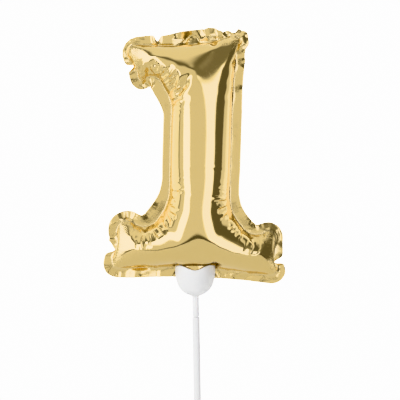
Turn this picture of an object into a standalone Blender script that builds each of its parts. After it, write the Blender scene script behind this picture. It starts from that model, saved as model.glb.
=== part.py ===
"""A foil number balloon, the figure one, in a cup on a stick.

Frame: metres, +Z up along the stick, origin at the middle of the stick's lower end.
The balloon's front faces -Y, and its two sheets meet in the XZ plane.
"""

import math

import bmesh
import bpy
import numpy as np
from mathutils import Vector
from mathutils.geometry import delaunay_2d_cdt

MM = 0.001
GAP = 0.3 * MM  # left between pieces that touch on the real object

# Stick: a plain tube
STICK_LENGTH = 150 * MM
STICK_RADIUS = 2.0 * MM
STICK_BORE = 1.5 * MM
STICK_CHAMFER = 0.15 * MM

# Cup: a bowl with two slots, on a stem whose spigot goes into the stick
SPIGOT_LENGTH = 12 * MM
SPIGOT_RADIUS = 1.3 * MM
STEM_LENGTH = 10.5 * MM
STEM_RADIUS = 1.8 * MM
BOWL_RADIUS = 10.5 * MM
BOWL_DEPTH = 13.1 * MM
BOWL_FULLNESS = 2.25  # exponent of the bowl's superellipse, 2 being an ellipse
BOWL_WALL = 0.9 * MM
RIM_ABOVE_BOWL = 0.5 * MM  # lowest point of the rim, in front and behind
EAR_RISE = 2.4 * MM  # how far the ears stand above that point
EAR_DROP = 0.9 * MM  # how far the rim rounds off from an ear's tip to the slot
EAR_PLACE = 0.8  # share of the radius at which an ear has its tip
SLOT_WIDTH = 4.0 * MM
SLOT_DEPTH = 10.0 * MM  # below the ears' tips
CUP_SIDES = 48

# Balloon: figure and neck as (x, z, corner radius) of the weld line, clockwise from
# the foot's lower left, z counted from the balloon's seat in the cup
FOIL = 0.4 * MM  # thickness of each sheet's solid
FIN = 3.6 * MM  # welded margin outside the weld line
NECK_FIN = 1.5 * MM
NECK_HALF_WIDTH = 4.0 * MM
TAIL_END = -8.8 * MM
FIGURE = [
    (-42.5, 1.2, 4.0),
    (-41.0, 27.5, 5.5),
    (-13.6, 27.5, 13.0),
    (-13.4, 97.2, 15.0),
    (-34.0, 97.2, 2.5),
    (-36.4, 115.0, 4.5),
    (19.8, 122.2, 3.5),
    (17.1, 22.8, 17.0),
    (41.3, 22.8, 5.5),
    (41.2, 0.2, 4.0),
]
NECK_ROOT = 9.5 * MM  # half the width over which the neck leaves the foot
SEAT_HEIGHT = 12.3 * MM  # the balloon's seat above the bowl's lowest point
BALLOON_TILT = math.radians(2.8)  # how far the balloon leans to +X in its cup
FULLNESS = 0.93  # depth of a tube of foil against its width
NECK_HALF_DEPTH = 1.0 * MM  # the foil is nearly flat where the cup holds it
HELD_FLAT_TO = 14.0 * MM  # distance aside from the seat to which the cup holds it
FLARE = 1.5  # how fast it swells beyond that
FOIL_MESH = 4.0 * MM  # spacing of the sheets' points

# Valve: two films in the neck that press together when the balloon is full
FILM = 0.2 * MM
FILM_HALF_WIDTH = 2.6 * MM
FILM_TOP = 14 * MM
FILM_GAP = 0.3 * MM

CUP_BOTTOM = STICK_LENGTH + GAP + STEM_LENGTH
SEAT = CUP_BOTTOM + SEAT_HEIGHT

GOLD = (0.83, 0.60, 0.22)
WHITE = (0.86, 0.86, 0.85)
CLEAR = (0.75, 0.78, 0.80)


def material(name, colour, roughness, metallic=0.0):
    made = bpy.data.materials.new(name)
    made.use_nodes = True
    shader = made.node_tree.nodes["Principled BSDF"]
    shader.inputs["Base Color"].default_value = (*colour, 1.0)
    shader.inputs["Roughness"].default_value = roughness
    shader.inputs["Metallic"].default_value = metallic
    return made


def new_object(name, mesh, finish, parent=None):
    mesh.materials.append(finish)
    made = bpy.data.objects.new(name, mesh)
    made.parent = parent
    bpy.context.scene.collection.objects.link(made)
    return made


def turned(name, rings, sides):
    """A closed mesh of revolution about Z. Each ring is (radius, height) or
    (radius, function of the angle from the front that gives the height)."""
    bm = bmesh.new()
    loops = []
    for radius, height in rings:
        loop = []
        for i in range(1 if radius == 0 else sides):
            angle = 2 * math.pi * i / sides
            z = height(angle) if callable(height) else height
            x, y = radius * math.sin(angle), -radius * math.cos(angle)
            loop.append(bm.verts.new((x, y, z)))
        loops.append(loop)
    for low, high in zip(loops, loops[1:]):
        for i in range(sides):
            corners = [low[i % len(low)], low[(i + 1) % len(low)]]
            corners += [high[(i + 1) % len(high)], high[i % len(high)]]
            bm.faces.new(dict.fromkeys(corners))
    bmesh.ops.recalc_face_normals(bm, faces=bm.faces)
    mesh = bpy.data.meshes.new(name)
    bm.to_mesh(mesh)
    bm.free()
    mesh.shade_smooth()
    mesh.set_sharp_from_angle(angle=math.radians(40))
    return mesh


# Stick


def stick_mesh():
    """A tube: a square-cut profile with small chamfers, turned about Z."""
    inner, outer = STICK_BORE, STICK_RADIUS
    c, top = STICK_CHAMFER, STICK_LENGTH
    profile = [
        (inner + c, 0),
        (outer - c, 0),
        (outer, c),
        (outer, top - c),
        (outer - c, top),
        (inner + c, top),
        (inner, top - c),
        (inner, c),
    ]
    mesh = turned("stick", [*profile, profile[0]], CUP_SIDES)
    bm = bmesh.new()
    bm.from_mesh(mesh)
    bmesh.ops.remove_doubles(bm, verts=bm.verts, dist=0.01 * MM)
    bmesh.ops.recalc_face_normals(bm, faces=bm.faces)
    bm.to_mesh(mesh)
    bm.free()
    return mesh


# Cup


def bowl_radius(depth, wall):
    """Radius of the bowl at this depth below its widest level, wall in from the outside."""
    share = min(depth / (BOWL_DEPTH - wall), 1.0)
    return (BOWL_RADIUS - wall) * (1 - share**BOWL_FULLNESS) ** (1 / BOWL_FULLNESS)


def rim_height(drop):
    """The rim's height at each angle: low in front and behind, with an ear on each
    side of both slots, less drop."""
    widest = CUP_BOTTOM + BOWL_DEPTH

    def height(angle):
        aside = abs(math.sin(angle))
        if aside < EAR_PLACE:
            rise = EAR_RISE * (1 - math.cos(math.pi * aside / EAR_PLACE)) / 2
        else:
            past = (aside - EAR_PLACE) / (1 - EAR_PLACE)
            rise = EAR_RISE - EAR_DROP * (1 - math.sqrt(max(0.0, 1 - past * past)))
        return widest + RIM_ABOVE_BOWL + rise - drop

    return height


def cup_mesh():
    """Spigot, stem and bowl as one moulding of revolution, with a rim that rises and falls."""
    spigot_bottom = STICK_LENGTH - SPIGOT_LENGTH
    widest = CUP_BOTTOM + BOWL_DEPTH
    chamfer = 0.3 * MM
    edge = 0.25 * MM
    steps = 9
    shoulder = STICK_LENGTH + GAP
    rings = [
        (0, spigot_bottom),
        (SPIGOT_RADIUS - chamfer, spigot_bottom),
        (SPIGOT_RADIUS, spigot_bottom + chamfer),
        (SPIGOT_RADIUS, shoulder),
        (STEM_RADIUS, shoulder),
        (STEM_RADIUS, CUP_BOTTOM - chamfer),
        (STEM_RADIUS + chamfer, CUP_BOTTOM),
    ]
    for i in range(1, steps + 1):
        depth = BOWL_DEPTH * math.cos(0.5 * math.pi * i / steps)
        radius = bowl_radius(depth, 0)
        if radius > STEM_RADIUS + 2 * chamfer:
            rings.append((radius, widest - depth))
    rings += [
        (BOWL_RADIUS, rim_height(edge)),
        (BOWL_RADIUS - edge, rim_height(0)),
        (BOWL_RADIUS - BOWL_WALL + edge, rim_height(0)),
        (BOWL_RADIUS - BOWL_WALL, rim_height(edge)),
    ]
    for i in range(steps, 0, -1):
        depth = (BOWL_DEPTH - BOWL_WALL) * math.cos(0.5 * math.pi * i / steps)
        rings.append((bowl_radius(depth, BOWL_WALL), widest - depth))
    rings.append((0, CUP_BOTTOM + BOWL_WALL))
    return turned("balloon_cup", rings, CUP_SIDES)


def slot_cutter():
    """One box along X that cuts both slots, with a rounded lower edge."""
    ear_top = CUP_BOTTOM + BOWL_DEPTH + RIM_ABOVE_BOWL + EAR_RISE
    bottom = ear_top - SLOT_DEPTH
    reach, above = 2 * BOWL_RADIUS, 5 * MM
    bm = bmesh.new()
    half = SLOT_WIDTH / 2
    profile = [(-half, ear_top + above)]
    for i in range(9):
        angle = math.pi * (1 + i / 8)
        profile.append((half * math.cos(angle), bottom + half + half * math.sin(angle)))
    profile.append((half, ear_top + above))
    face = bm.faces.new([bm.verts.new((-reach, y, z)) for y, z in profile])
    grown = bmesh.ops.extrude_face_region(bm, geom=[face])
    moved = [v for v in grown["geom"] if isinstance(v, bmesh.types.BMVert)]
    bmesh.ops.translate(bm, verts=moved, vec=(2 * reach, 0, 0))
    bmesh.ops.recalc_face_normals(bm, faces=bm.faces)
    mesh = bpy.data.meshes.new("slot_cutter")
    bm.to_mesh(mesh)
    bm.free()
    return mesh


# Balloon


def figure_corners():
    """The weld line's corners in metres, with each following edge's margin."""
    corners = [(x * MM, z * MM, r * MM, FIN) for x, z, r in FIGURE]
    right, left = corners[-1], corners[0]

    def foot(x):
        share = (x - left[0]) / (right[0] - left[0])
        return left[1] + share * (right[1] - left[1])

    half = NECK_HALF_WIDTH
    return corners + [
        (NECK_ROOT, foot(NECK_ROOT), 3.0 * MM, NECK_FIN),
        (half, foot(half) - 4.0 * MM, 3.0 * MM, NECK_FIN),
        (half, TAIL_END, 0.0, 0.0),
        (-half, TAIL_END, 0.0, NECK_FIN),
        (-half, foot(-half) - 4.0 * MM, 3.0 * MM, NECK_FIN),
        (-NECK_ROOT, foot(-NECK_ROOT), 3.0 * MM, FIN),
    ]


def widened(corners):
    """The corners moved out, so that each edge lies its own margin outside where it was."""
    count = len(corners)
    made = []
    for i, (x, z, radius, margin) in enumerate(corners):
        before, after = corners[i - 1], corners[(i + 1) % count]
        here = Vector((x, z))
        into = (here - Vector(before[:2])).normalized()
        out = (Vector(after[:2]) - here).normalized()
        n1, n2 = Vector((-into.y, into.x)), Vector((-out.y, out.x))
        m1, m2 = before[3], margin
        turn = n1.x * n2.y - n1.y * n2.x
        moved = Vector((m1 * n2.y - m2 * n1.y, n1.x * m2 - n2.x * m1)) / turn
        grown = radius + m2 if turn < 0 else max(radius - m2, 0.8 * MM)
        made.append((*(here + moved), grown if radius else 0.0, margin))
    return made


def rounded(corners, spacing):
    """Points along the outline, with each corner as an arc of its radius."""
    count = len(corners)
    points = []
    for i, (x, z, radius, _) in enumerate(corners):
        here = Vector((x, z))
        a = (Vector(corners[i - 1][:2]) - here).normalized()
        b = (Vector(corners[(i + 1) % count][:2]) - here).normalized()
        half = a.angle(b) / 2
        if radius == 0 or half > math.radians(89):
            points.append(here)
            continue
        centre = here + (a + b).normalized() * radius / math.sin(half)
        start = here + a * radius / math.tan(half)
        sweep = math.pi - 2 * half
        side = 1 if a.x * b.y - a.y * b.x < 0 else -1
        steps = max(2, round(radius * sweep / spacing))
        for k in range(steps + 1):
            angle = side * sweep * k / steps
            spoke = start - centre
            turned_by = Vector(
                (
                    spoke.x * math.cos(angle) - spoke.y * math.sin(angle),
                    spoke.x * math.sin(angle) + spoke.y * math.cos(angle),
                )
            )
            points.append(centre + turned_by)
    filled = []
    for a, b in zip(points, points[1:] + points[:1]):
        steps = max(1, round((b - a).length / spacing))
        filled += [a.lerp(b, k / steps) for k in range(steps)]
    return filled


def inside(point, outline):
    """Whether the point is inside the closed outline."""
    found = False
    for a, b in zip(outline, outline[1:] + outline[:1]):
        if (a.y > point.y) != (b.y > point.y):
            if point.x < a.x + (point.y - a.y) * (b.x - a.x) / (b.y - a.y):
                found = not found
    return found


def lattice(outline, spacing):
    """Points of a triangular lattice inside the outline, clear of its points."""
    low = Vector((min(p.x for p in outline), min(p.y for p in outline)))
    high = Vector((max(p.x for p in outline), max(p.y for p in outline)))
    row_step = spacing * math.sqrt(3) / 2
    found = []
    for row in range(int((high.y - low.y) / row_step) + 1):
        shift = spacing / 2 if row % 2 else 0.0
        for column in range(int((high.x - low.x) / spacing) + 1):
            point = low + Vector((column * spacing + shift, row * row_step))
            if not inside(point, outline):
                continue
            if min((point - p).length for p in outline) > 0.55 * spacing:
                found.append(point)
    return found


def swelling(points, triangles, fixed):
    """How far each point of a filled sheet stands off the weld plane: the root of the
    solution u of laplace(u) = -1, which makes a long strip a round tube."""
    count = len(points)
    stiffness = np.zeros((count, count))
    load = np.zeros(count)
    for triangle in triangles:
        p = points[triangle]
        area = 0.5 * abs(np.cross(p[1] - p[0], p[2] - p[0]))
        edges = np.array([p[2] - p[1], p[0] - p[2], p[1] - p[0]])
        stiffness[np.ix_(triangle, triangle)] += edges @ edges.T / (4 * area)
        load[triangle] += area / 3
    known = np.zeros(count)
    for i, value in fixed.items():
        known[i] = value
    free = np.array([i for i in range(count) if i not in fixed])
    rest = load - stiffness @ known
    known[free] = np.linalg.solve(stiffness[np.ix_(free, free)], rest[free])
    return np.sqrt(np.maximum(2 * known, 0))


def sheet_plan():
    """(points, triangles, height of each point off the weld plane) of one flat-welded sheet."""
    weld_corners = figure_corners()
    weld = rounded(weld_corners, FOIL_MESH)
    edge = rounded(widened(weld_corners), FOIL_MESH)
    middle = lattice(weld, FOIL_MESH)
    flat = weld + edge + middle
    n, m = len(weld), len(edge)
    loops = [(i, (i + 1) % n) for i in range(n)]
    loops += [(n + i, n + (i + 1) % m) for i in range(m)]
    spots, _, faces, origin, _, _ = delaunay_2d_cdt(flat, loops, [], 1, 1e-6)
    points = np.array([tuple(p) for p in spots])
    triangles = np.array([list(f) for f in faces])
    fixed = {}
    for i, sources in enumerate(origin):
        if not sources or min(sources) < n + m:
            x, z = points[i]
            at_mouth = abs(z - TAIL_END) < 0.01 * MM
            inner = max(NECK_HALF_WIDTH**2 - x * x, 0.0)
            fixed[i] = inner / 2 if at_mouth else 0.0
    height = FULLNESS * swelling(points, triangles, fixed)
    from_seat = np.hypot(points[:, 0], 2 * np.maximum(points[:, 1], 0))
    held = NECK_HALF_DEPTH + FLARE * np.maximum(from_seat - HELD_FLAT_TO, 0)
    height = np.minimum(height, held)
    return points, triangles, height


def leaned(x, z):
    """The plan's point where it stands: turned by the balloon's lean, about its seat."""
    c, s = math.cos(BALLOON_TILT), math.sin(BALLOON_TILT)
    return x * c + z * s, SEAT - x * s + z * c


def panel_mesh(name, plan, side):
    """One sheet of the balloon: side -1 is the front, 1 the back."""
    points, triangles, height = plan
    base = GAP / 2 + FOIL
    bm = bmesh.new()
    verts = []
    for (x, z), h in zip(points, height):
        across, up = leaned(x, z)
        verts.append(bm.verts.new((across, side * (base + h), up)))
    for triangle in triangles:
        bm.faces.new([verts[i] for i in triangle])
    bmesh.ops.recalc_face_normals(bm, faces=bm.faces)
    bm.normal_update()
    if sum(f.normal.y * f.calc_area() for f in bm.faces) * side < 0:
        bmesh.ops.reverse_faces(bm, faces=bm.faces)
    mesh = bpy.data.meshes.new(name)
    bm.to_mesh(mesh)
    bm.free()
    mesh.shade_smooth()
    return mesh


def film_mesh(name, side):
    """A valve film: a thin rectangle that stands in the neck and reaches into the foot."""
    near = side * FILM_GAP / 2
    far = side * (FILM_GAP / 2 + FILM)
    w = FILM_HALF_WIDTH
    bm = bmesh.new()
    corners = [(-w, TAIL_END), (w, TAIL_END), (w, FILM_TOP), (-w, FILM_TOP)]
    layers = []
    for y in (near, far):
        layer = []
        for x, z in corners:
            across, up = leaned(x, z)
            layer.append(bm.verts.new((across, y, up)))
        layers.append(layer)
        bm.faces.new(layer)
    bmesh.ops.bridge_loops(bm, edges=[e for e in bm.edges if e.is_boundary])
    bmesh.ops.recalc_face_normals(bm, faces=bm.faces)
    mesh = bpy.data.meshes.new(name)
    bm.to_mesh(mesh)
    bm.free()
    return mesh


def main():
    for old in list(bpy.data.objects):
        bpy.data.objects.remove(old, do_unlink=True)

    gold = material("gold_foil", GOLD, 0.12, metallic=1.0)
    white = material("white_plastic", WHITE, 0.35)
    clear = material("valve_film", CLEAR, 0.3)

    new_object("stick", stick_mesh(), white)

    cup = new_object("balloon_cup", cup_mesh(), white)
    cutter = new_object("slot_cutter", slot_cutter(), white)
    cutter.hide_render = True
    cutter.display_type = "WIRE"
    cut = cup.modifiers.new("slots", "BOOLEAN")
    cut.operation = "DIFFERENCE"
    cut.solver = "EXACT"
    cut.object = cutter

    plan = sheet_plan()
    for name, side in (("front_foil_panel", -1), ("back_foil_panel", 1)):
        panel = new_object(name, panel_mesh(name, plan, side), gold)
        skin = panel.modifiers.new("foil", "SOLIDIFY")
        skin.thickness = FOIL
        skin.offset = -1.0
        skin.use_even_offset = True
        skin.thickness_clamp = 0.0
    for name, side in (("valve_front_film", -1), ("valve_back_film", 1)):
        new_object(name, film_mesh(name, side), clear)


main()
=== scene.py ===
"""Looks of the foil number balloon in its cup on a stick.

Two flat foil sheets are welded along the figure's outline and blown up by cloth
simulation, which makes their facets and wrinkles; the stick, the cup and the valve
films are the CAD's own, with better materials. Metres, +Z up, the front faces -Y.
"""

import math

import bpy
import numpy as np
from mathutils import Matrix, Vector, noise
from mathutils.geometry import delaunay_2d_cdt


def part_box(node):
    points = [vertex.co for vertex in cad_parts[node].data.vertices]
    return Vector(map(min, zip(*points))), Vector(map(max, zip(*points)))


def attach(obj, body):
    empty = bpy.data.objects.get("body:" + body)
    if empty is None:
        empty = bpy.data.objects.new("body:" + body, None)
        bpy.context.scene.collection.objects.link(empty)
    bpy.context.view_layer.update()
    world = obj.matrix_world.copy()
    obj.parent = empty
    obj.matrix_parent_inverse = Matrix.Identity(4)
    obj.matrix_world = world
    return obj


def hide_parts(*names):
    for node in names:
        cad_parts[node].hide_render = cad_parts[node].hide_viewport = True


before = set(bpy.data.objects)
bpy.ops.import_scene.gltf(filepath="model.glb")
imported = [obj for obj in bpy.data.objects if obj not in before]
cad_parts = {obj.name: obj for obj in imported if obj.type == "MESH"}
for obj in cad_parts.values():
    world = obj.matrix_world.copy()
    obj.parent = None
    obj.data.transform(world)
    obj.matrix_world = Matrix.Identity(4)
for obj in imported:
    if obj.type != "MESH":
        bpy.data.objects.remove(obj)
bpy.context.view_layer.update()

MM = 0.001

# Camera: in front, level but for a slight roll, with a long lens
FRAME_WIDTH = 205.2 * MM  # what the picture's width takes in at the object
FRAME_CENTRE = (3.1 * MM, 210.0 * MM)  # x, z
LENS = 150.0
SENSOR = 36.0
ROLL = math.radians(1.0)

# The cup as the CAD makes it
CUP_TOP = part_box("balloon_cup")[1].z
CUP_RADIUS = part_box("balloon_cup")[1].x
EAR_ABOVE_SEAT = 3.7 * MM  # how far its ears rise past the balloon's seat
SEAT = CUP_TOP - EAR_ABOVE_SEAT

# Flat pattern of a sheet: the weld line's corners as (x, z, corner radius, width of the
# fin outside the following edge) in mm, clockwise from the foot's lower left, z counted
# from the seat in the cup
FIGURE = [
    (-43.7, 2.8, 3.5, 5.2),
    (-47.4, 29.3, 6.0, 5.8),
    (-32.4, 30.0, 12.0, 7.4),
    (-24.2, 45.0, 30.0, 4.3),
    (-24.0, 98.0, 20.0, 6.2),
    (-31.0, 114.2, 8.0, 4.6),
    (-38.4, 114.4, 1.8, 4.8),
    (-37.8, 134.6, 5.0, 8.3),
    (22.6, 134.6, 4.0, 5.3),
    (25.4, 43.0, 30.0, 6.4),
    (35.0, 28.2, 12.0, 4.8),
    (46.0, 27.0, 4.2, 4.8),
    (42.9, 3.0, 4.0, 4.9),
]
NECK = [
    (10.0, 2.0, 3.0, 1.5),
    (4.0, -4.0, 3.0, 1.5),
    (4.0, -8.8, 0.0, 1.5),
    (-4.0, -8.8, 0.0, 1.5),
    (-4.0, -4.0, 3.0, 1.5),
    (-10.0, 2.1, 3.0, 5.2),
]

# Inflation
SPACING = 2.0 * MM  # of the first mesh's points
CLEAR = 0.6 * SPACING  # from an outline to the nearest points of the lattice
LEAST_RADIUS = 0.8 * MM  # of a corner of the fin's edge
# The flat sheets start bulged by FIRST_RISE times the root of a point's distance from the
# weld line times FIRST_REACH, in mm
FIRST_RISE = 0.05
FIRST_REACH = 20
HELD_BELOW = -4.5 * MM  # the cup holds the neck flat below this
HELD_HALF = 9.0 * MM  # and the fin over this half width
HELD_TOP = 0.4 * MM  # up to here
HELD_APART = 0.5 * MM  # the two sheets' distance from the weld plane there
SIM_SCALE = 10.0  # the cloth solver works better on a bigger balloon
STIFFNESS = 200.0
DAMPING = 5.0
AIR_DRAG = 5.0
# Thin film gives by fine wrinkles when it is pressed together: much along the stem,
# which stays smooth, and little in the head and the foot. Heights where that changes:
STEM_FADE = (40 * MM, 52 * MM, 100 * MM, 116 * MM)
MIDDLE = 1.3 * MM  # the foot's middle stays smooth too, for this far on either side
MIDDLE_FADE = (18 * MM, 28 * MM)
# Frames, quality, mass, pressure, stiffness when pressed together in the stem and in the
# ends, bending stiffness of the body and of the fin, on the first mesh and on the one
# with every triangle halved
COARSE = (90, 5, 0.06, 110.0, 6.0, 60.0, 0.02, 1.0)
FINE = (30, 5, 0.02, 110.0, 10.0, 200.0, 0.01, 1.0)


# Flat pattern


def widened(corners, margins):
    """The corners moved out, so that each edge lies its own margin outside where it was."""
    count = len(corners)
    made = []
    for i, (x, z, radius) in enumerate(corners):
        before, after = corners[i - 1], corners[(i + 1) % count]
        here = Vector((x, z))
        into = (here - Vector(before[:2])).normalized()
        out = (Vector(after[:2]) - here).normalized()
        n1, n2 = Vector((-into.y, into.x)), Vector((-out.y, out.x))
        m1, m2 = margins[i - 1], margins[i]
        turn = n1.x * n2.y - n1.y * n2.x
        moved = Vector((m1 * n2.y - m2 * n1.y, n1.x * m2 - n2.x * m1)) / turn
        grown = radius + m2 if turn < 0 else max(radius - m2, LEAST_RADIUS)
        made.append((*(here + moved), grown if radius else 0.0))
    return made


def rounded(corners, spacing):
    """Points along the outline, with each corner as an arc of its radius."""
    count = len(corners)
    points = []
    for i, (x, z, radius) in enumerate(corners):
        here = Vector((x, z))
        a = (Vector(corners[i - 1][:2]) - here).normalized()
        b = (Vector(corners[(i + 1) % count][:2]) - here).normalized()
        half = a.angle(b) / 2
        if radius == 0 or half > math.radians(89):
            points.append(here)
            continue
        centre = here + (a + b).normalized() * radius / math.sin(half)
        spoke = here + a * radius / math.tan(half) - centre
        sweep = math.pi - 2 * half
        side = 1 if a.x * b.y - a.y * b.x < 0 else -1
        steps = max(2, round(radius * sweep / spacing))
        for k in range(steps + 1):
            angle = side * sweep * k / steps
            c, s = math.cos(angle), math.sin(angle)
            turned = Vector((spoke.x * c - spoke.y * s, spoke.x * s + spoke.y * c))
            points.append(centre + turned)
    filled = []
    for a, b in zip(points, points[1:] + points[:1]):
        steps = max(1, round((b - a).length / spacing))
        filled += [a.lerp(b, k / steps) for k in range(steps)]
    return np.array([tuple(p) for p in filled])


def inside(points, outline):
    """Which points are inside the closed outline."""
    a, b = outline, np.roll(outline, -1, axis=0)
    x, y = points[:, 0][:, None], points[:, 1][:, None]
    spans = (a[:, 1] > y) != (b[:, 1] > y)
    rise = np.where(b[:, 1] == a[:, 1], 1e-30, b[:, 1] - a[:, 1])
    crossing = a[:, 0] + (y - a[:, 1]) * (b[:, 0] - a[:, 0]) / rise
    return (np.sum(spans & (x < crossing), axis=1) % 2) == 1


def beside(points, outline):
    """(distance from the outline, distance along it) of each point's nearest spot."""
    a = outline
    along = np.roll(a, -1, axis=0) - a
    square = np.maximum((along**2).sum(1), 1e-30)
    length = np.sqrt(square)
    before = np.concatenate([[0.0], np.cumsum(length)[:-1]])
    away, passed = np.zeros(len(points)), np.zeros(len(points))
    for i in range(0, len(points), 1000):
        q = points[i : i + 1000, None, :] - a[None]
        t = np.clip((q * along).sum(2) / square, 0, 1)
        off = np.sqrt(((q - t[..., None] * along) ** 2).sum(2))
        best = off.argmin(1)
        rows = np.arange(len(best))
        away[i : i + 1000] = off[rows, best]
        passed[i : i + 1000] = before[best] + t[rows, best] * length[best]
    return away, passed


def lattice(low, high, spacing):
    """A triangular lattice with upright columns, along which the stem folds round."""
    column = spacing * math.sqrt(3) / 2
    points = []
    for c in range(int((high[0] - low[0]) / column) + 2):
        shift = spacing / 2 if c % 2 else 0.0
        for r in range(int((high[1] - low[1]) / spacing) + 2):
            points.append((low[0] + c * column, low[1] + r * spacing + shift))
    return np.array(points)


def outlines():
    """The weld line and the fin's outer edge, as closed rows of points."""
    corners = [(x * MM, z * MM, r * MM) for x, z, r, _ in FIGURE + NECK]
    margins = [margin * MM for _, _, _, margin in FIGURE + NECK]
    return rounded(corners, SPACING), rounded(widened(corners, margins), SPACING)


def flat_balloon():
    """Both sheets laid flat and welded: (points, triangles, kind of each triangle: 0
    front, 1 back, 2 fin, and how far each point starts off the weld plane)."""
    weld, edge = outlines()
    grid = lattice(edge.min(0), edge.max(0), SPACING)
    off_weld = beside(grid, weld)[0] > CLEAR
    off_edge = beside(grid, edge)[0] > CLEAR
    in_body = inside(grid, weld)
    body = grid[in_body & off_weld]
    fin = grid[~in_body & inside(grid, edge) & off_weld & off_edge]
    n, m = len(weld), len(edge)
    plan = np.vstack([weld, edge, body, fin])
    loops = [(i, (i + 1) % n) for i in range(n)]
    loops += [(n + i, n + (i + 1) % m) for i in range(m)]
    spots, _, faces, origin, _, _ = delaunay_2d_cdt(
        [Vector(p) for p in plan], loops, [], 1, 1e-7
    )
    plan = np.array([tuple(p) for p in spots])
    triangles = np.array([list(f) for f in faces])
    a, b, c = plan[triangles].transpose(1, 0, 2)
    turn = (b - a)[:, 0] * (c - a)[:, 1] - (b - a)[:, 1] * (c - a)[:, 0]
    triangles[turn < 0] = triangles[turn < 0][:, ::-1]
    is_body = inside(plan[triangles].mean(1), weld)
    source = np.array([min(o) if o else -1 for o in origin])
    on_weld = (source >= 0) & (source < n)
    count = len(plan)
    inner = np.zeros(count, bool)
    inner[triangles[is_body].ravel()] = True
    inner &= ~on_weld
    twin = np.arange(count)
    twin[inner] = count + np.arange(inner.sum())
    flat = np.zeros((count + inner.sum(), 3))
    flat[:count, [0, 2]] = plan
    flat[twin, 0], flat[twin, 2] = plan.T
    front = triangles[is_body]
    margin = triangles[~is_body]
    all_faces = np.vstack([front, twin[front][:, ::-1], margin])
    kind = np.repeat([0, 1, 2], [len(front), len(front), len(margin)])
    rise = FIRST_RISE * np.sqrt(beside(plan, weld)[0] * FIRST_REACH * MM)
    start = np.zeros(len(flat))
    start[:count] = np.where(inner, -rise, 0)
    start[twin[inner]] = rise[inner]
    return flat, all_faces, kind, start


def edges_of(faces):
    """The triangles' first edges, then their second and third, as sorted pairs."""
    edges = np.vstack([faces[:, [0, 1]], faces[:, [1, 2]], faces[:, [2, 0]]])
    return np.sort(edges, axis=1)


def halved(flat, now, faces, kind):
    """Every triangle cut into four."""
    unique, which = np.unique(edges_of(faces), axis=0, return_inverse=True)
    t = len(faces)
    mid = len(flat) + which.ravel()
    ab, bc, ca = mid[:t], mid[t : 2 * t], mid[2 * t :]
    a, b, c = faces.T
    quarters = [np.c_[a, ab, ca], np.c_[ab, b, bc], np.c_[ca, bc, c], np.c_[ab, bc, ca]]

    def with_middles(points):
        return np.vstack([points, points[unique].mean(1)])

    return with_middles(flat), with_middles(now), np.vstack(quarters), np.tile(kind, 4)


# Inflation


def held(flat):
    """The points that the cup holds flat."""
    x, z = flat[:, 0], flat[:, 2]
    return (z < HELD_BELOW) | ((np.abs(x) < HELD_HALF) & (z < HELD_TOP))


def ends_share(flat):
    """1 in the head and the foot's sides, 0 in the stem and the foot's middle."""
    x, z = flat[:, 0], flat[:, 2]
    ends = np.interp(z, STEM_FADE, (1.0, 0.0, 0.0, 1.0))
    aside = np.interp(np.abs(x - MIDDLE), MIDDLE_FADE, (0.0, 1.0))
    return ends * np.where(z < STEM_FADE[1], aside, 1.0)


def inflated(flat, start, faces, kind, stage):
    """The foil blown up from start, with the lengths of the flat pattern."""
    frames, quality, mass, pressure, soft, firm, bending, fin_bending = stage
    mesh = bpy.data.meshes.new("inflating")
    mesh.from_pydata((start * SIM_SCALE).tolist(), [], faces.tolist())
    foil = bpy.data.objects.new("inflating", mesh)
    bpy.context.scene.collection.objects.link(foil)
    foil.shape_key_add(name="Basis")
    rest = foil.shape_key_add(name="rest")
    rest.data.foreach_set("co", (flat * SIM_SCALE).ravel())
    rest.value = 0.0
    rest.keyframe_insert("value", frame=1)
    rest.value = 1.0
    rest.keyframe_insert("value", frame=3)
    groups = {
        "air": np.unique(faces[kind < 2]),
        "fin": np.unique(faces[kind == 2]),
        "held": np.where(held(flat))[0],
    }
    for name, members in groups.items():
        foil.vertex_groups.new(name=name).add(members.tolist(), 1.0, "REPLACE")
    firm_group = foil.vertex_groups.new(name="firm")
    for i, weight in enumerate(ends_share(flat)):
        firm_group.add([i], float(weight), "REPLACE")
    cloth = foil.modifiers.new("cloth", "CLOTH")
    s = cloth.settings
    s.quality = quality
    s.mass = mass
    s.air_damping = AIR_DRAG
    s.tension_stiffness = s.shear_stiffness = STIFFNESS
    s.tension_stiffness_max = s.shear_stiffness_max = STIFFNESS
    s.compression_stiffness, s.compression_stiffness_max = soft, firm
    s.vertex_group_structural_stiffness = "firm"
    s.tension_damping = s.compression_damping = s.shear_damping = DAMPING
    s.bending_model = "ANGULAR"
    s.bending_stiffness = bending
    s.bending_stiffness_max = fin_bending
    s.vertex_group_bending = "fin"
    s.bending_damping = 0.5
    s.use_pressure = True
    s.use_pressure_volume = False
    s.uniform_pressure_force = pressure
    s.vertex_group_pressure = "air"
    s.vertex_group_mass = "held"
    s.effector_weights.gravity = 0
    s.use_dynamic_mesh = True
    cloth.collision_settings.use_collision = False
    cloth.collision_settings.use_self_collision = False
    cloth.point_cache.frame_start = 1
    cloth.point_cache.frame_end = frames + 5
    for f in range(1, frames + 1):
        bpy.context.scene.frame_set(f)
    shown = foil.evaluated_get(bpy.context.evaluated_depsgraph_get())
    blown = np.zeros(3 * len(flat))
    shown.data.vertices.foreach_get("co", blown)
    bpy.data.objects.remove(foil)
    bpy.context.scene.frame_set(1)
    return blown.reshape(-1, 3) / SIM_SCALE


def blown_balloon():
    """(flat points, blown points, triangles, kind of each triangle)."""
    flat, faces, kind, rise = flat_balloon()
    start = flat.copy()
    start[:, 1] = rise
    pinned = held(flat)
    start[pinned, 1] = HELD_APART * np.sign(rise[pinned])
    now = inflated(flat, start, faces, kind, COARSE)
    flat, now, faces, kind = halved(flat, now, faces, kind)
    now = inflated(flat, now, faces, kind, FINE)
    return flat, now, faces, kind


# Finished shape of the foil

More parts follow.
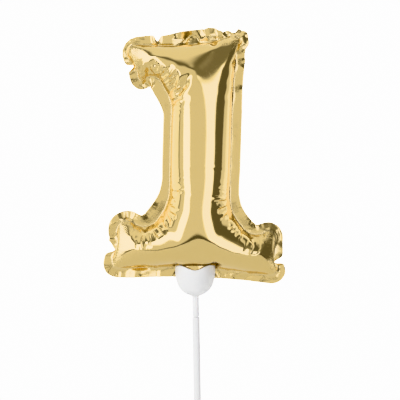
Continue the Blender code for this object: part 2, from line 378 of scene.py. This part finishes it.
STEM_LEAN = math.radians(2.5)  # of the stem's middle line towards +X
LEAN_HEIGHTS = (50 * MM, 95 * MM)  # where its middle is found
FIN_UPRIGHT = 0.85  # how far the fin is pressed back into the weld plane
SMOOTHING = 2  # rounds all over
CALM_SMOOTHING = 140  # more rounds where the film gives easily, and this far inside
CALM_FADE = (2.5 * MM, 5.5 * MM)
# Where the stem meets the foot it is smoothed still more, fully between the middle two
# of these heights
WAIST = (15 * MM, 30 * MM, 56 * MM, 64 * MM)
WAIST_SMOOTHING = 90
# Where the fin is pinched into a notch, as (x, z, half width) in mm on the flat pattern
# and the share of the fin that the notch takes
PINCHES = [
    (-35.0, 140.0, 8.0, 0.42),
    (-22.0, 137.0, 1.4, 0.55),
    (-20.0, 137.0, 10.0, 0.35),
    (20.5, 140.0, 1.4, 0.6),
    (17.0, 140.0, 7.0, 0.5),
    (-43.0, 124.0, 1.8, 0.8),
    (-51.0, 10.8, 2.0, 0.95),
    (50.5, 8.8, 2.0, 0.95),
]
PINCH_FOLD = 1.6 * MM  # how far a pinch's two sides stand before and behind the fin
PINCH_RISE = 4.0 * MM  # how far out from the weld line that is reached
# Where the fin is crumpled, as (x, z, reach) in mm and how much
CRUMPLES = [
    (-47.0, 0.0, 9.0, 1.0),
    (-50.0, 30.0, 12.0, 1.0),
    (-40.0, 110.0, 7.0, 0.9),
    (-42.0, 133.0, 12.0, 1.0),
    (-5.0, 138.0, 26.0, 1.0),
    (28.0, 134.0, 14.0, 0.7),
    (28.0, 112.0, 14.0, 0.5),
    (48.0, 28.0, 12.0, 1.0),
    (48.0, 0.0, 10.0, 1.0),
    (-26.0, -2.0, 16.0, 0.7),
    (28.0, -2.0, 16.0, 0.6),
]
# Where the fin curls forwards, as (x, z, reach) in mm and how steeply
CURLS = [
    (-31.0, 38.0, 14.0, 0.12),
    (33.0, 36.0, 12.0, 0.12),
    (-8.0, 141.0, 10.0, 0.1),
    (14.0, 141.0, 7.0, -0.15),
]
CRUMPLE = 3.3 * MM
CRUMPLE_LENGTH = 13.0 * MM  # of a wave of the crumpling
CRUMPLE_LEVEL = 0.3  # of the folds' sharp crests, so that they stand to both sides
CRUMPLE_DETAIL = (0.15, 2.1)  # share and pace of the smaller folds on them
CRUMPLE_SLICE = 7.3  # of the noise that they follow
CRUMPLE_RISE = 1.5 * MM  # how far out from the weld line it is reached
SMOOTH_FIN = 0.05  # what is left of the crumpling elsewhere
# Where the body is gathered into pleats, in mm: the middle (x, z) and the half length
# along the weld line, how far in from it they start and end, their depth and their pitch
PLEATS = [
    (-29.0, 109.0, 18.0, 6.0, 15.0, 0.9, 2.3),
    (-28.0, 38.0, 18.0, 7.5, 16.5, 1.1, 3.0),
    (29.5, 37.0, 18.0, 7.5, 16.5, 1.1, 3.0),
]
# Creases across the stem, as (x, z, half length, depth) in mm
CREASES = [(4.0, 63.5, 11.0, 0.14), (-9.0, 50.0, 5.0, 0.1)]
CREASE_WIDTH = 0.8
CREASE_WAVE = (0.6, 3.1)  # how far they wander up and down, in mm, over how many mm
# The balloon's lower end fills the cup. Heights above the seat between which it swells
# and thins again, widths at which that fades out, and how much
SWELL_HEIGHTS = (0.3 * MM, 1.0 * MM, 3.7 * MM, 8.0 * MM)
SWELL_WIDTHS = (7.5 * MM, 9.5 * MM)
SWELL = 4.0
CUP_WALL = 1.2 * MM  # with the foil's clearance
BOWL_DEPTH = 0.9  # the bowl's half depth at a width, as a share of a circle's
SLOT_ROOM = 1.6 * MM  # half the room that the foil has in front and behind in the slots
ROOM_BESIDE = 2.5  # more room for each unit past the cup's side, starting this far out
BESIDE = 0.3 * MM
ROOM_ABOVE = 5.0  # and for each unit above its ears
FOIL_GAP = 0.12 * MM  # between the two sheets in the fin
FOIL_WALL = 0.05 * MM


def neighbours(faces):
    """Pairs of joined points as (from, to), each both ways."""
    edges = np.unique(edges_of(faces), axis=0)
    return np.vstack([edges, edges[:, ::-1]])


def smoothed(points, faces, rounds, amount, weights=(0.7, -0.73)):
    """Smoothing by an amount from 0 to 1 at each point. The usual pair of weights rounds
    off facets without shrinking the whole."""
    start, end = neighbours(faces).T
    count = len(points)
    degree = np.maximum(np.bincount(start, minlength=count), 1)
    now = points.T.copy()
    for _ in range(rounds):
        for weight in weights:
            for row in now:
                middle = np.bincount(start, weights=row[end], minlength=count) / degree
                row += weight * amount * (middle - row)
    return now.T


def normals(points, faces):
    """Unit normal at each point, weighted by area."""
    a, b, c = points[faces].transpose(1, 0, 2)
    cross = np.cross(b - a, c - a)
    total = np.zeros_like(points)
    for k in range(3):
        np.add.at(total, faces[:, k], cross)
    return total / np.maximum(np.linalg.norm(total, axis=1), 1e-20)[:, None]


def settled(flat, now, on_weld):
    """The blown balloon put straight: its weld line near the XZ plane and its stem at
    the lean it has in the cup."""
    x, z = now[:, 0], now[:, 2]
    basis = np.c_[z, x * z, z * z, x * z * z, z * z * z] / [0.1, 1e-2, 1e-2, 1e-3, 1e-3]
    fit = np.linalg.lstsq(basis[on_weld], now[on_weld, 1], rcond=None)[0]
    now = now.copy()
    now[:, 1] -= basis @ fit
    middles = []
    for height in LEAN_HEIGHTS:
        level = on_weld & (np.abs(flat[:, 2] - height) < 4 * MM)
        level &= np.abs(flat[:, 0]) < 30 * MM
        left = now[level & (flat[:, 0] < 0)].mean(0)
        right = now[level & (flat[:, 0] > 0)].mean(0)
        middles.append((left + right) / 2)
    run = middles[1] - middles[0]
    turn = STEM_LEAN - math.atan2(run[0], run[2])
    c, s = math.cos(turn), math.sin(turn)
    x, z = now[:, 0].copy(), now[:, 2].copy()
    now[:, 0], now[:, 2] = x * c + z * s, z * c - x * s
    return now


def kinds_of_point(faces, kind, count):
    """Which points are on the weld line, and which in the fin outside it."""
    in_fin = np.zeros(count, bool)
    in_fin[faces[kind == 2].ravel()] = True
    in_body = np.zeros(count, bool)
    in_body[faces[kind < 2].ravel()] = True
    return in_fin & in_body, in_fin & ~in_body


class WeldLine:
    """The closed weld line, for finding a spot on it by the distance along it."""

    def __init__(self, flat, on_weld):
        self.outline = outlines()[0]
        self.length = np.linalg.norm(
            np.roll(self.outline, -1, axis=0) - self.outline, axis=1
        ).sum()
        self.away, self.along = beside(flat[:, [0, 2]], self.outline)
        self.loop = np.where(on_weld)[0]
        self.loop = self.loop[np.argsort(self.along[self.loop])]
        s = self.along[self.loop]
        self.thrice = np.concatenate([s - self.length, s, s + self.length])

    def at(self, points, where):
        """The place on the line in points, where this far along it."""
        rows = np.tile(points[self.loop], (3, 1)).T
        return np.stack([np.interp(where, self.thrice, row) for row in rows], axis=1)

    def axes(self, points, where):
        """The line's direction in the XZ plane, and the direction square to it."""
        step = 1.5 * MM
        t = self.at(points, where + step) - self.at(points, where - step)
        t[:, 1] = 0
        t /= np.linalg.norm(t, axis=1)[:, None]
        return t, np.stack([-t[:, 2], np.zeros(len(t)), t[:, 0]], axis=1)

    def gap(self, where, x, z):
        """Signed distance along the line to here from its spot nearest (x, z) in mm."""
        spot = beside(np.array([(x * MM, z * MM)]), self.outline)[1][0]
        return (where - spot + self.length / 2) % self.length - self.length / 2


def nearness(flat, x, z, reach):
    """From 1 at (x, z) in mm on the flat pattern to 0 beyond its reach."""
    apart = np.hypot(flat[:, 0] - x * MM, flat[:, 2] - z * MM) / (reach * MM)
    return np.exp(-(apart**4))


def pressed_fin(flat, now, fin, weld):
    """Stands the fin up in the weld plane, with its notches, its crumpled corners and
    the stretches that curl forwards."""
    where, away = weld.along[fin], weld.away[fin]
    foot = weld.at(now, where)
    offset = flat[fin] - weld.at(flat, where)
    flat_t, flat_n = weld.axes(flat, where)
    t, n = weld.axes(now, where)
    upright = t * (offset * flat_t).sum(1)[:, None] + n * (offset * flat_n).sum(1)[:, None]
    stands = (now[fin] - foot) * (1 - FIN_UPRIGHT) + upright * FIN_UPRIGHT
    for x, z, half, depth in PINCHES:
        gap = weld.gap(where, x, z) / (half * MM)
        stands *= (1 - depth * np.exp(-gap * gap))[:, None]
        fold = np.sin(1.4 * gap) * np.exp(-gap * gap / 3)
        stands[:, 1] += PINCH_FOLD * fold * np.minimum(away / PINCH_RISE, 1)
    for x, z, reach, lean in CURLS:
        stands[:, 1] -= lean * nearness(flat[fin], x, z, reach) * away
    amount = np.full(len(fin), SMOOTH_FIN)
    for x, z, reach, much in CRUMPLES:
        amount = np.maximum(amount, much * nearness(flat[fin], x, z, reach))
    share, pace = CRUMPLE_DETAIL
    for i, (s, d) in enumerate(zip(where, away)):
        spot = Vector((s / CRUMPLE_LENGTH, 0.6 * d / CRUMPLE_LENGTH, CRUMPLE_SLICE))
        wave = CRUMPLE_LEVEL - abs(noise.noise(spot))
        wave += share * abs(noise.noise(pace * spot))
        stands[i, 1] += 2 * CRUMPLE * amount[i] * wave * min(d / CRUMPLE_RISE, 1.0)
    return foot + stands


def pleat(gap, inwards, x, z, half, first, last, pitch):
    """Height of the pleats gathered round (x, z), where 1 is from crest to hollow, at a
    spot this far from there along the weld line and inwards of it, all in mm. The crests
    are sharp, and each pleat has its own length."""
    wander = noise.noise(Vector((gap / 6, 0.05 * inwards, x)))
    turns = gap / pitch + 1.1 * wander
    crest = 0.55 - abs(math.sin(math.pi * turns)) ** 0.8
    longer = noise.noise(Vector((round(turns) * 3.7, z, 1.3)))
    end = first + (last - first) * (0.6 + 0.9 * longer)
    outside_start = math.exp(1.5 * (first - inwards))
    past_end = math.exp(2.0 * (inwards - end))
    fade = math.exp(-((gap / half) ** 4)) / ((1 + outside_start) * (1 + past_end))
    return crest * fade


def pleated(flat, now, faces, fin, weld):
    """Gathers the film into short pleats that run in from the weld line's hollow bends,
    where the flat pattern has too little length for the blown shape, and creases the
    stem."""
    out = normals(now, faces)
    lift = np.zeros(len(now))
    for x, z, half, first, last, depth, pitch in PLEATS:
        gap = weld.gap(weld.along, x, z) / MM
        inwards = weld.away / MM
        near = (np.abs(gap) < 1.6 * half) & (inwards < 1.5 * last)
        for i in np.where(near)[0]:
            height = pleat(gap[i], inwards[i], x, z, half, first, last, pitch)
            lift[i] += depth * MM * height
    lift[fin] = 0
    wave, length = CREASE_WAVE
    across, up = flat[:, 0] / MM, flat[:, 2] / MM
    for x, z, half, depth in CREASES:
        off = (up - z - wave * np.sin(across / length)) / CREASE_WIDTH
        lift -= depth * MM * np.exp(-(off**2) - ((across - x) / half) ** 4)
    return now + out * lift[:, None]


def seated_in_cup(points):
    """Fills the cup with the balloon's lower end, clear of the cup's ears and slots."""
    x, y, z = np.abs(points[:, 0]), np.abs(points[:, 1]), points[:, 2]
    bowl = BOWL_DEPTH * np.sqrt(np.maximum((CUP_RADIUS - CUP_WALL) ** 2 - x**2, 0))
    low = np.interp(z, SWELL_HEIGHTS, (0.0, 1.0, 1.0, 0.0))
    swell = 1 + SWELL * low * np.interp(x, SWELL_WIDTHS, (1.0, 0.0))
    room = np.maximum(SLOT_ROOM, bowl)
    room += ROOM_BESIDE * np.maximum(x - CUP_RADIUS - BESIDE, 0)
    room += ROOM_ABOVE * np.maximum(z - EAR_ABOVE_SEAT, 0)
    depth = np.minimum(np.maximum(y, np.minimum(y * swell, bowl)), room)
    points = points.copy()
    points[:, 1] = np.sign(points[:, 1]) * depth
    return points


def shaped_foil():
    """The finished balloon: (flat points, points, triangles, kind of each triangle, weld
    line's outline)."""
    flat, now, faces, kind = blown_balloon()
    on_weld, _ = kinds_of_point(faces, kind, len(flat))
    now = settled(flat, now, on_weld)
    flat, now, faces, kind = halved(flat, now, faces, kind)
    on_weld, in_fin = kinds_of_point(faces, kind, len(flat))
    loose = np.where(on_weld, 0.0, 1.0)
    now = smoothed(now, faces, SMOOTHING, loose)
    weld = WeldLine(flat, on_weld)
    calm = np.interp(weld.away, CALM_FADE, (0.0, 1.0))
    calmed = loose * np.maximum(calm, 1 - ends_share(flat))
    now = smoothed(now, faces, CALM_SMOOTHING, calmed)
    waist = calm * np.interp(flat[:, 2], WAIST, (0.0, 1.0, 1.0, 0.0))
    now = smoothed(now, faces, WAIST_SMOOTHING, loose * waist, (0.7,))
    fin = np.where(in_fin)[0]
    now[fin] = pressed_fin(flat, now, fin, weld)
    now = pleated(flat, now, faces[kind < 2], in_fin | on_weld, weld)
    return flat, seated_in_cup(now), faces, kind, weld.outline


def foil_piece(name, node, side, flat, now, faces, kind, weld):
    """One sheet, its half of the fin included, as a thin closed shell."""
    own = faces[kind == (0 if side < 0 else 1)]
    margin = faces[kind == 2]
    out = normals(now, margin)
    if side > 0:
        margin = margin[:, ::-1]
    in_fin = np.unique(margin)
    placed = now.copy()
    placed[in_fin] += -side * out[in_fin] * FOIL_GAP / 2
    used, index = np.unique(np.vstack([own, margin]), return_inverse=True)
    index = index.reshape(-1, 3)
    points = placed[used]
    points[:, 2] += SEAT
    mesh = bpy.data.meshes.new(name)
    mesh.from_pydata(points.tolist(), [], index.tolist())
    mesh.shade_smooth()
    away, along = beside(flat[used][:, [0, 2]], weld)
    outside = ~inside(flat[used][:, [0, 2]], weld)
    away[outside] *= -1
    uv = mesh.uv_layers.new(name="weld")
    at = np.stack([along, away], axis=1)[index.ravel()] / (10 * MM)
    first = at[0::3, 0].repeat(3)
    around = along.max() / (10 * MM)
    at[:, 0] += np.round((first - at[:, 0]) / around) * around
    uv.data.foreach_set("uv", at.ravel())
    piece = bpy.data.objects.new(name, mesh)
    bpy.context.scene.collection.objects.link(piece)
    skin = piece.modifiers.new("foil", "SOLIDIFY")
    skin.thickness = FOIL_WALL
    skin.offset = -1.0
    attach(piece, "balloon")
    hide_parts(node)
    return piece


# Materials


class Painter:
    """A new material with its Principled shader, and short calls for its nodes. Numbers
    that hold all over the surface are given as constants of the shader."""

    def __init__(self, name, **constants):
        self.material = bpy.data.materials.new(name)
        self.material.use_nodes = True
        self.tree = self.material.node_tree
        self.shader = self.tree.nodes["Principled BSDF"]
        for key, value in constants.items():
            self.shader.inputs[key.replace("_", " ")].default_value = value

    def node(self, kind, inputs=(), **settings):
        made = self.tree.nodes.new(kind)
        for key, value in settings.items():
            setattr(made, key, value)
        for key, value in dict(inputs).items():
            if isinstance(value, bpy.types.NodeSocket):
                self.tree.links.new(value, made.inputs[key])
            else:
                made.inputs[key].default_value = value
        return made

    def math(self, operation, *values):
        made = self.node("ShaderNodeMath", enumerate(values), operation=operation)
        return made.outputs[0]

    def place(self, scale, source="Object"):
        """Object coordinates, or those of the foil's weld map, times scale."""
        if source == "Object":
            at = self.node("ShaderNodeTexCoord").outputs["Object"]
        else:
            at = self.node("ShaderNodeUVMap", uv_map=source).outputs[0]
        made = self.node("ShaderNodeVectorMath", {0: at, 1: scale}, operation="MULTIPLY")
        return made.outputs[0]

    def noise(self, at, scale, detail=2.0, rough=0.5):
        values = {"Vector": at, "Scale": scale, "Detail": detail, "Roughness": rough}
        return self.node("ShaderNodeTexNoise", values).outputs[0]

    def ramp(self, value, start, end, low=0.0, high=1.0):
        values = enumerate((value, start, end, low, high))
        made = self.node("ShaderNodeMapRange", values, interpolation_type="SMOOTHSTEP")
        return made.outputs[0]

    def colour(self, share, one, other):
        made = self.node("ShaderNodeMix", {0: share}, data_type="RGBA")
        made.inputs[6].default_value = (*one, 1.0)
        made.inputs[7].default_value = (*other, 1.0)
        self.tree.links.new(made.outputs[2], self.shader.inputs["Base Color"])

    def colour_over(self, share, other):
        """Mixes another colour over the colour so far."""
        shown = self.shader.inputs["Base Color"]
        under = shown.links[0].from_socket
        self.colour(share, other, other)
        self.tree.links.new(under, shown.links[0].from_node.inputs[6])

    def roughness(self, value):
        self.tree.links.new(value, self.shader.inputs["Roughness"])

    def relief(self, heights):
        """Bump from the sum of (height from 0 to 1, metres)."""
        total = 0.0
        for height, depth in heights:
            total = self.math("ADD", self.math("MULTIPLY", height, depth), total)
        values = {"Height": total, "Distance": 1.0, "Strength": 1.0}
        bump = self.node("ShaderNodeBump", values)
        self.tree.links.new(bump.outputs[0], self.shader.inputs["Normal"])


def gold_foil():
    """Metallised film: a clear skin over the metal, fine scuffs, small creases that run in
    from the weld line, and the fin's sealed band with its pressed diamonds.
    Along the weld line the gold is painted paler: a painted highlight of the rim."""
    p = Painter("gold_foil", Metallic=1.0, Coat_Weight=0.7, Coat_Roughness=0.04)
    at = p.place((1, 1, 1))
    weld_map = p.node("ShaderNodeUVMap", uv_map="weld").outputs[0]
    split = p.node("ShaderNodeSeparateXYZ", {0: weld_map})
    along, away = split.outputs[:2]  # along the weld line and inwards of it, in cm
    in_fin = p.ramp(away, 0.0, -0.03)
    in_seal = p.math("MULTIPLY", p.ramp(away, -0.04, -0.07), p.ramp(away, -0.36, -0.32))
    near_weld = p.math("MULTIPLY", p.ramp(away, 0.9, 0.05), p.ramp(away, -0.1, 0.0))

    shade = p.noise(at, 45.0, 3.0, 0.6)
    p.colour(shade, (0.83, 0.63, 0.265), (0.785, 0.585, 0.225))
    # Painted highlight: a paler gold band along the weld line stands for the bright
    # reflection at the balloon's rim
    painted_edge_highlight = p.math("MULTIPLY", p.ramp(away, 0.1, 0.02), p.ramp(away, -0.16, -0.04))
    p.colour_over(p.math("MULTIPLY", painted_edge_highlight, 0.4), (0.84, 0.67, 0.34))
    scuffs = p.noise(at, 700.0, 5.0, 0.65)
    haze = p.noise(at, 60.0, 2.0)
    rough = p.ramp(scuffs, 0.45, 0.75, 0.045, 0.12)
    rough = p.math("ADD", rough, p.ramp(haze, 0.4, 0.7, 0.0, 0.04))
    p.roughness(p.math("ADD", rough, p.math("MULTIPLY", in_seal, 0.07)))

    creases = p.noise(p.place((26.0, 2.4, 0.0), "weld"), 1.0, 2.0, 0.55)
    creases = p.math("MULTIPLY", p.ramp(creases, 0.42, 0.62), near_weld)
    crinkle = p.noise(at, 420.0, 3.0, 0.6)
    crinkle = p.math("MULTIPLY", p.ramp(crinkle, 0.3, 0.7), p.math("ADD", 0.12, in_fin))
    slack = p.noise(at, 95.0, 1.0)
    diagonals = []
    for operation in ("ADD", "SUBTRACT"):
        line = p.math("MULTIPLY", p.math(operation, along, away), 90.0)
        diagonals.append(p.math("SINE", line))
    diamonds = p.math("MULTIPLY", p.math("MAXIMUM", *diagonals), in_seal)
    p.relief(
        [
            (creases, 0.045 * MM),
            (crinkle, 0.02 * MM),
            (slack, 0.05 * MM),
            (diamonds, 0.007 * MM),
        ]
    )
    return p.material


def moulded_white():
    """The cup: slightly milky plastic with a fine mould grain and faint flow marks."""
    p = Painter(
        "cup_plastic",
        Subsurface_Weight=0.25,
        Subsurface_Radius=(1.0, 0.95, 0.9),
        Subsurface_Scale=0.0015,
    )
    at = p.place((1, 1, 1))
    flow = p.noise(p.place((1, 1, 0.25)), 160.0, 3.0, 0.6)
    p.colour(flow, (0.90, 0.90, 0.905), (0.86, 0.86, 0.865))
    grain = p.noise(at, 2600.0, 2.0)
    p.roughness(p.ramp(p.noise(at, 330.0, 3.0), 0.35, 0.7, 0.28, 0.42))
    p.relief([(grain, 0.006 * MM), (flow, 0.02 * MM)])
    return p.material


def drawn_white():
    """The stick: extruded plastic, with die lines along it and faint scuffs."""
    p = Painter("stick_plastic")
    lines = p.noise(p.place((1, 1, 0.012)), 1500.0, 2.0, 0.5)
    scuffs = p.noise(p.place((1, 1, 0.3)), 500.0, 4.0, 0.6)
    p.colour(lines, (0.87, 0.87, 0.87), (0.83, 0.83, 0.83))
    p.roughness(p.ramp(scuffs, 0.4, 0.7, 0.2, 0.38))
    p.relief([(lines, 0.008 * MM), (scuffs, 0.004 * MM)])
    return p.material


def clear_film():
    """The valve's films: thin clear plastic, slightly cloudy and creased lengthwise."""
    p = Painter("valve_film", Alpha=0.45, IOR=1.5)
    creases = p.noise(p.place((1, 1, 0.15)), 700.0, 3.0, 0.6)
    p.colour(creases, (0.80, 0.82, 0.84), (0.70, 0.73, 0.76))
    p.roughness(p.ramp(creases, 0.3, 0.7, 0.1, 0.3))
    p.relief([(creases, 0.03 * MM)])
    return p.material


def floor_paint():
    """The studio's plain light-coloured table."""
    p = Painter("floor_paint")
    speckle = p.noise(p.place((1, 1, 1)), 240.0, 4.0, 0.6)
    p.colour(speckle, (0.86, 0.86, 0.85), (0.82, 0.82, 0.815))
    p.roughness(p.ramp(speckle, 0.3, 0.7, 0.5, 0.65))
    p.relief([(speckle, 0.03 * MM)])
    return p.material


# Studio


def floor():
    half = 0.6  # of the square's side, in metres
    mesh = bpy.data.meshes.new("floor")
    corners = [(-half, -half, 0), (half, -half, 0), (half, half, 0), (-half, half, 0)]
    mesh.from_pydata(corners, [], [(0, 1, 2, 3)])
    mesh.materials.append(floor_paint())
    made = bpy.data.objects.new("floor", mesh)
    bpy.context.scene.collection.objects.link(made)


def camera():
    lens = bpy.data.cameras.new("camera")
    lens.lens = LENS
    lens.sensor_width = SENSOR
    lens.sensor_fit = "HORIZONTAL"
    made = bpy.data.objects.new("camera", lens)
    bpy.context.scene.collection.objects.link(made)
    x, z = FRAME_CENTRE
    made.location = (x, -FRAME_WIDTH * LENS / SENSOR, z)
    made.rotation_euler = (math.radians(90), ROLL, 0)
    bpy.context.scene.camera = made


# The studio as the foil mirrors it. Each panel is a patch of the surroundings:
# (azimuth from, to, elevation from, to, soft edge, brightness), in degrees, azimuth 0
# being the direction from the object to the camera and + to the camera's right.
AMBIENT = 0.9
PANELS = [
    (-180, 180, 56, 90, 5, 1.0),
    (-152, -93, -35, 60, 5, 1.5),
    (114, 180, -35, 60, 6, 1.5),
    (-93, -87, -60, 60, 2, 0.4),
    (-110, 60, 42, 56, 6, 0.2),
    (-68, -42, -28, 42, 2, 3.5),
    (20, 94, 17, 60, 11, 0.26),
    (21, 56, -28, 20, 4, 2.2),
    (58, 94, -60, 70, 3, 0.17),
    (-75, 75, -20, -11, 2.5, 0.14),
]
# The brightest panels look cooler in the foil: their tint, and the brightnesses between
# which it comes in
SOFTBOX_TINT = (0.95, 1.0, 1.35)
TINTED = (1.5, 2.1)
# What the camera sees behind the object: white, and not so strong that it eats into the
# outlines
BACKGROUND = 5.0


def studio():
    world = bpy.data.worlds.new("studio")
    bpy.context.scene.world = world
    world.use_nodes = True
    tree = world.node_tree
    tree.nodes.clear()
    bpy.context.scene.view_settings.view_transform = "Khronos PBR Neutral"

    def node(kind, *inputs, **settings):
        made = tree.nodes.new(kind)
        for key, value in settings.items():
            setattr(made, key, value)
        for socket, value in zip(made.inputs, inputs):
            if isinstance(value, bpy.types.NodeSocket):
                tree.links.new(value, socket)
            elif value is not None:
                socket.default_value = value
        return made

    def math_node(operation, *inputs):
        return node("ShaderNodeMath", *inputs, operation=operation).outputs[0]

    def step(value, low, high):
        made = node("ShaderNodeMapRange", value, low, high, interpolation_type="SMOOTHSTEP")
        return made.outputs[0]

    def between(value, start, end, soft):
        rise = step(value, start - soft, start + soft)
        return math_node("SUBTRACT", rise, step(value, end - soft, end + soft))

    def mixed(share, one, other):
        return node("ShaderNodeMix", share, None, one, other, data_type="FLOAT").outputs[0]

    direction = node("ShaderNodeTexCoord").outputs["Generated"]
    x, y, z = node("ShaderNodeSeparateXYZ", direction).outputs
    azimuth = math_node("DEGREES", math_node("ARCTAN2", x, math_node("MULTIPLY", y, -1.0)))
    elevation = math_node("DEGREES", math_node("ARCSINE", z))
    light = AMBIENT
    for a0, a1, e0, e1, soft, brightness in PANELS:
        share = between(elevation, e0, e1, soft)
        if a1 - a0 < 360:
            share = math_node("MULTIPLY", share, between(azimuth, a0, a1, soft))
        light = mixed(share, light, brightness)
    ray = node("ShaderNodeLightPath")
    strength = mixed(ray.outputs["Is Camera Ray"], light, BACKGROUND)
    tinted = math_node("MULTIPLY", step(light, *TINTED), ray.outputs["Is Glossy Ray"])
    tint = node("ShaderNodeMix", tinted, data_type="RGBA")
    tint.inputs[6].default_value = (1.0, 1.0, 1.0, 1.0)
    tint.inputs[7].default_value = (*SOFTBOX_TINT, 1.0)
    shone = node("ShaderNodeBackground", tint.outputs[2], strength)
    node("ShaderNodeOutputWorld", shone.outputs[0])


def main():
    camera()
    studio()
    floor()
    foil = shaped_foil()
    gold = gold_foil()
    for name, side in (("front_foil", -1), ("back_foil", 1)):
        sheet = foil_piece(name, name + "_panel", side, *foil)
        sheet.data.materials.append(gold)
    film = clear_film()
    finishes = {
        "stick": drawn_white(),
        "balloon_cup": moulded_white(),
        "valve_front_film": film,
        "valve_back_film": film,
    }
    for name, finish in finishes.items():
        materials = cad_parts[name].data.materials
        materials.clear()
        materials.append(finish)


main()
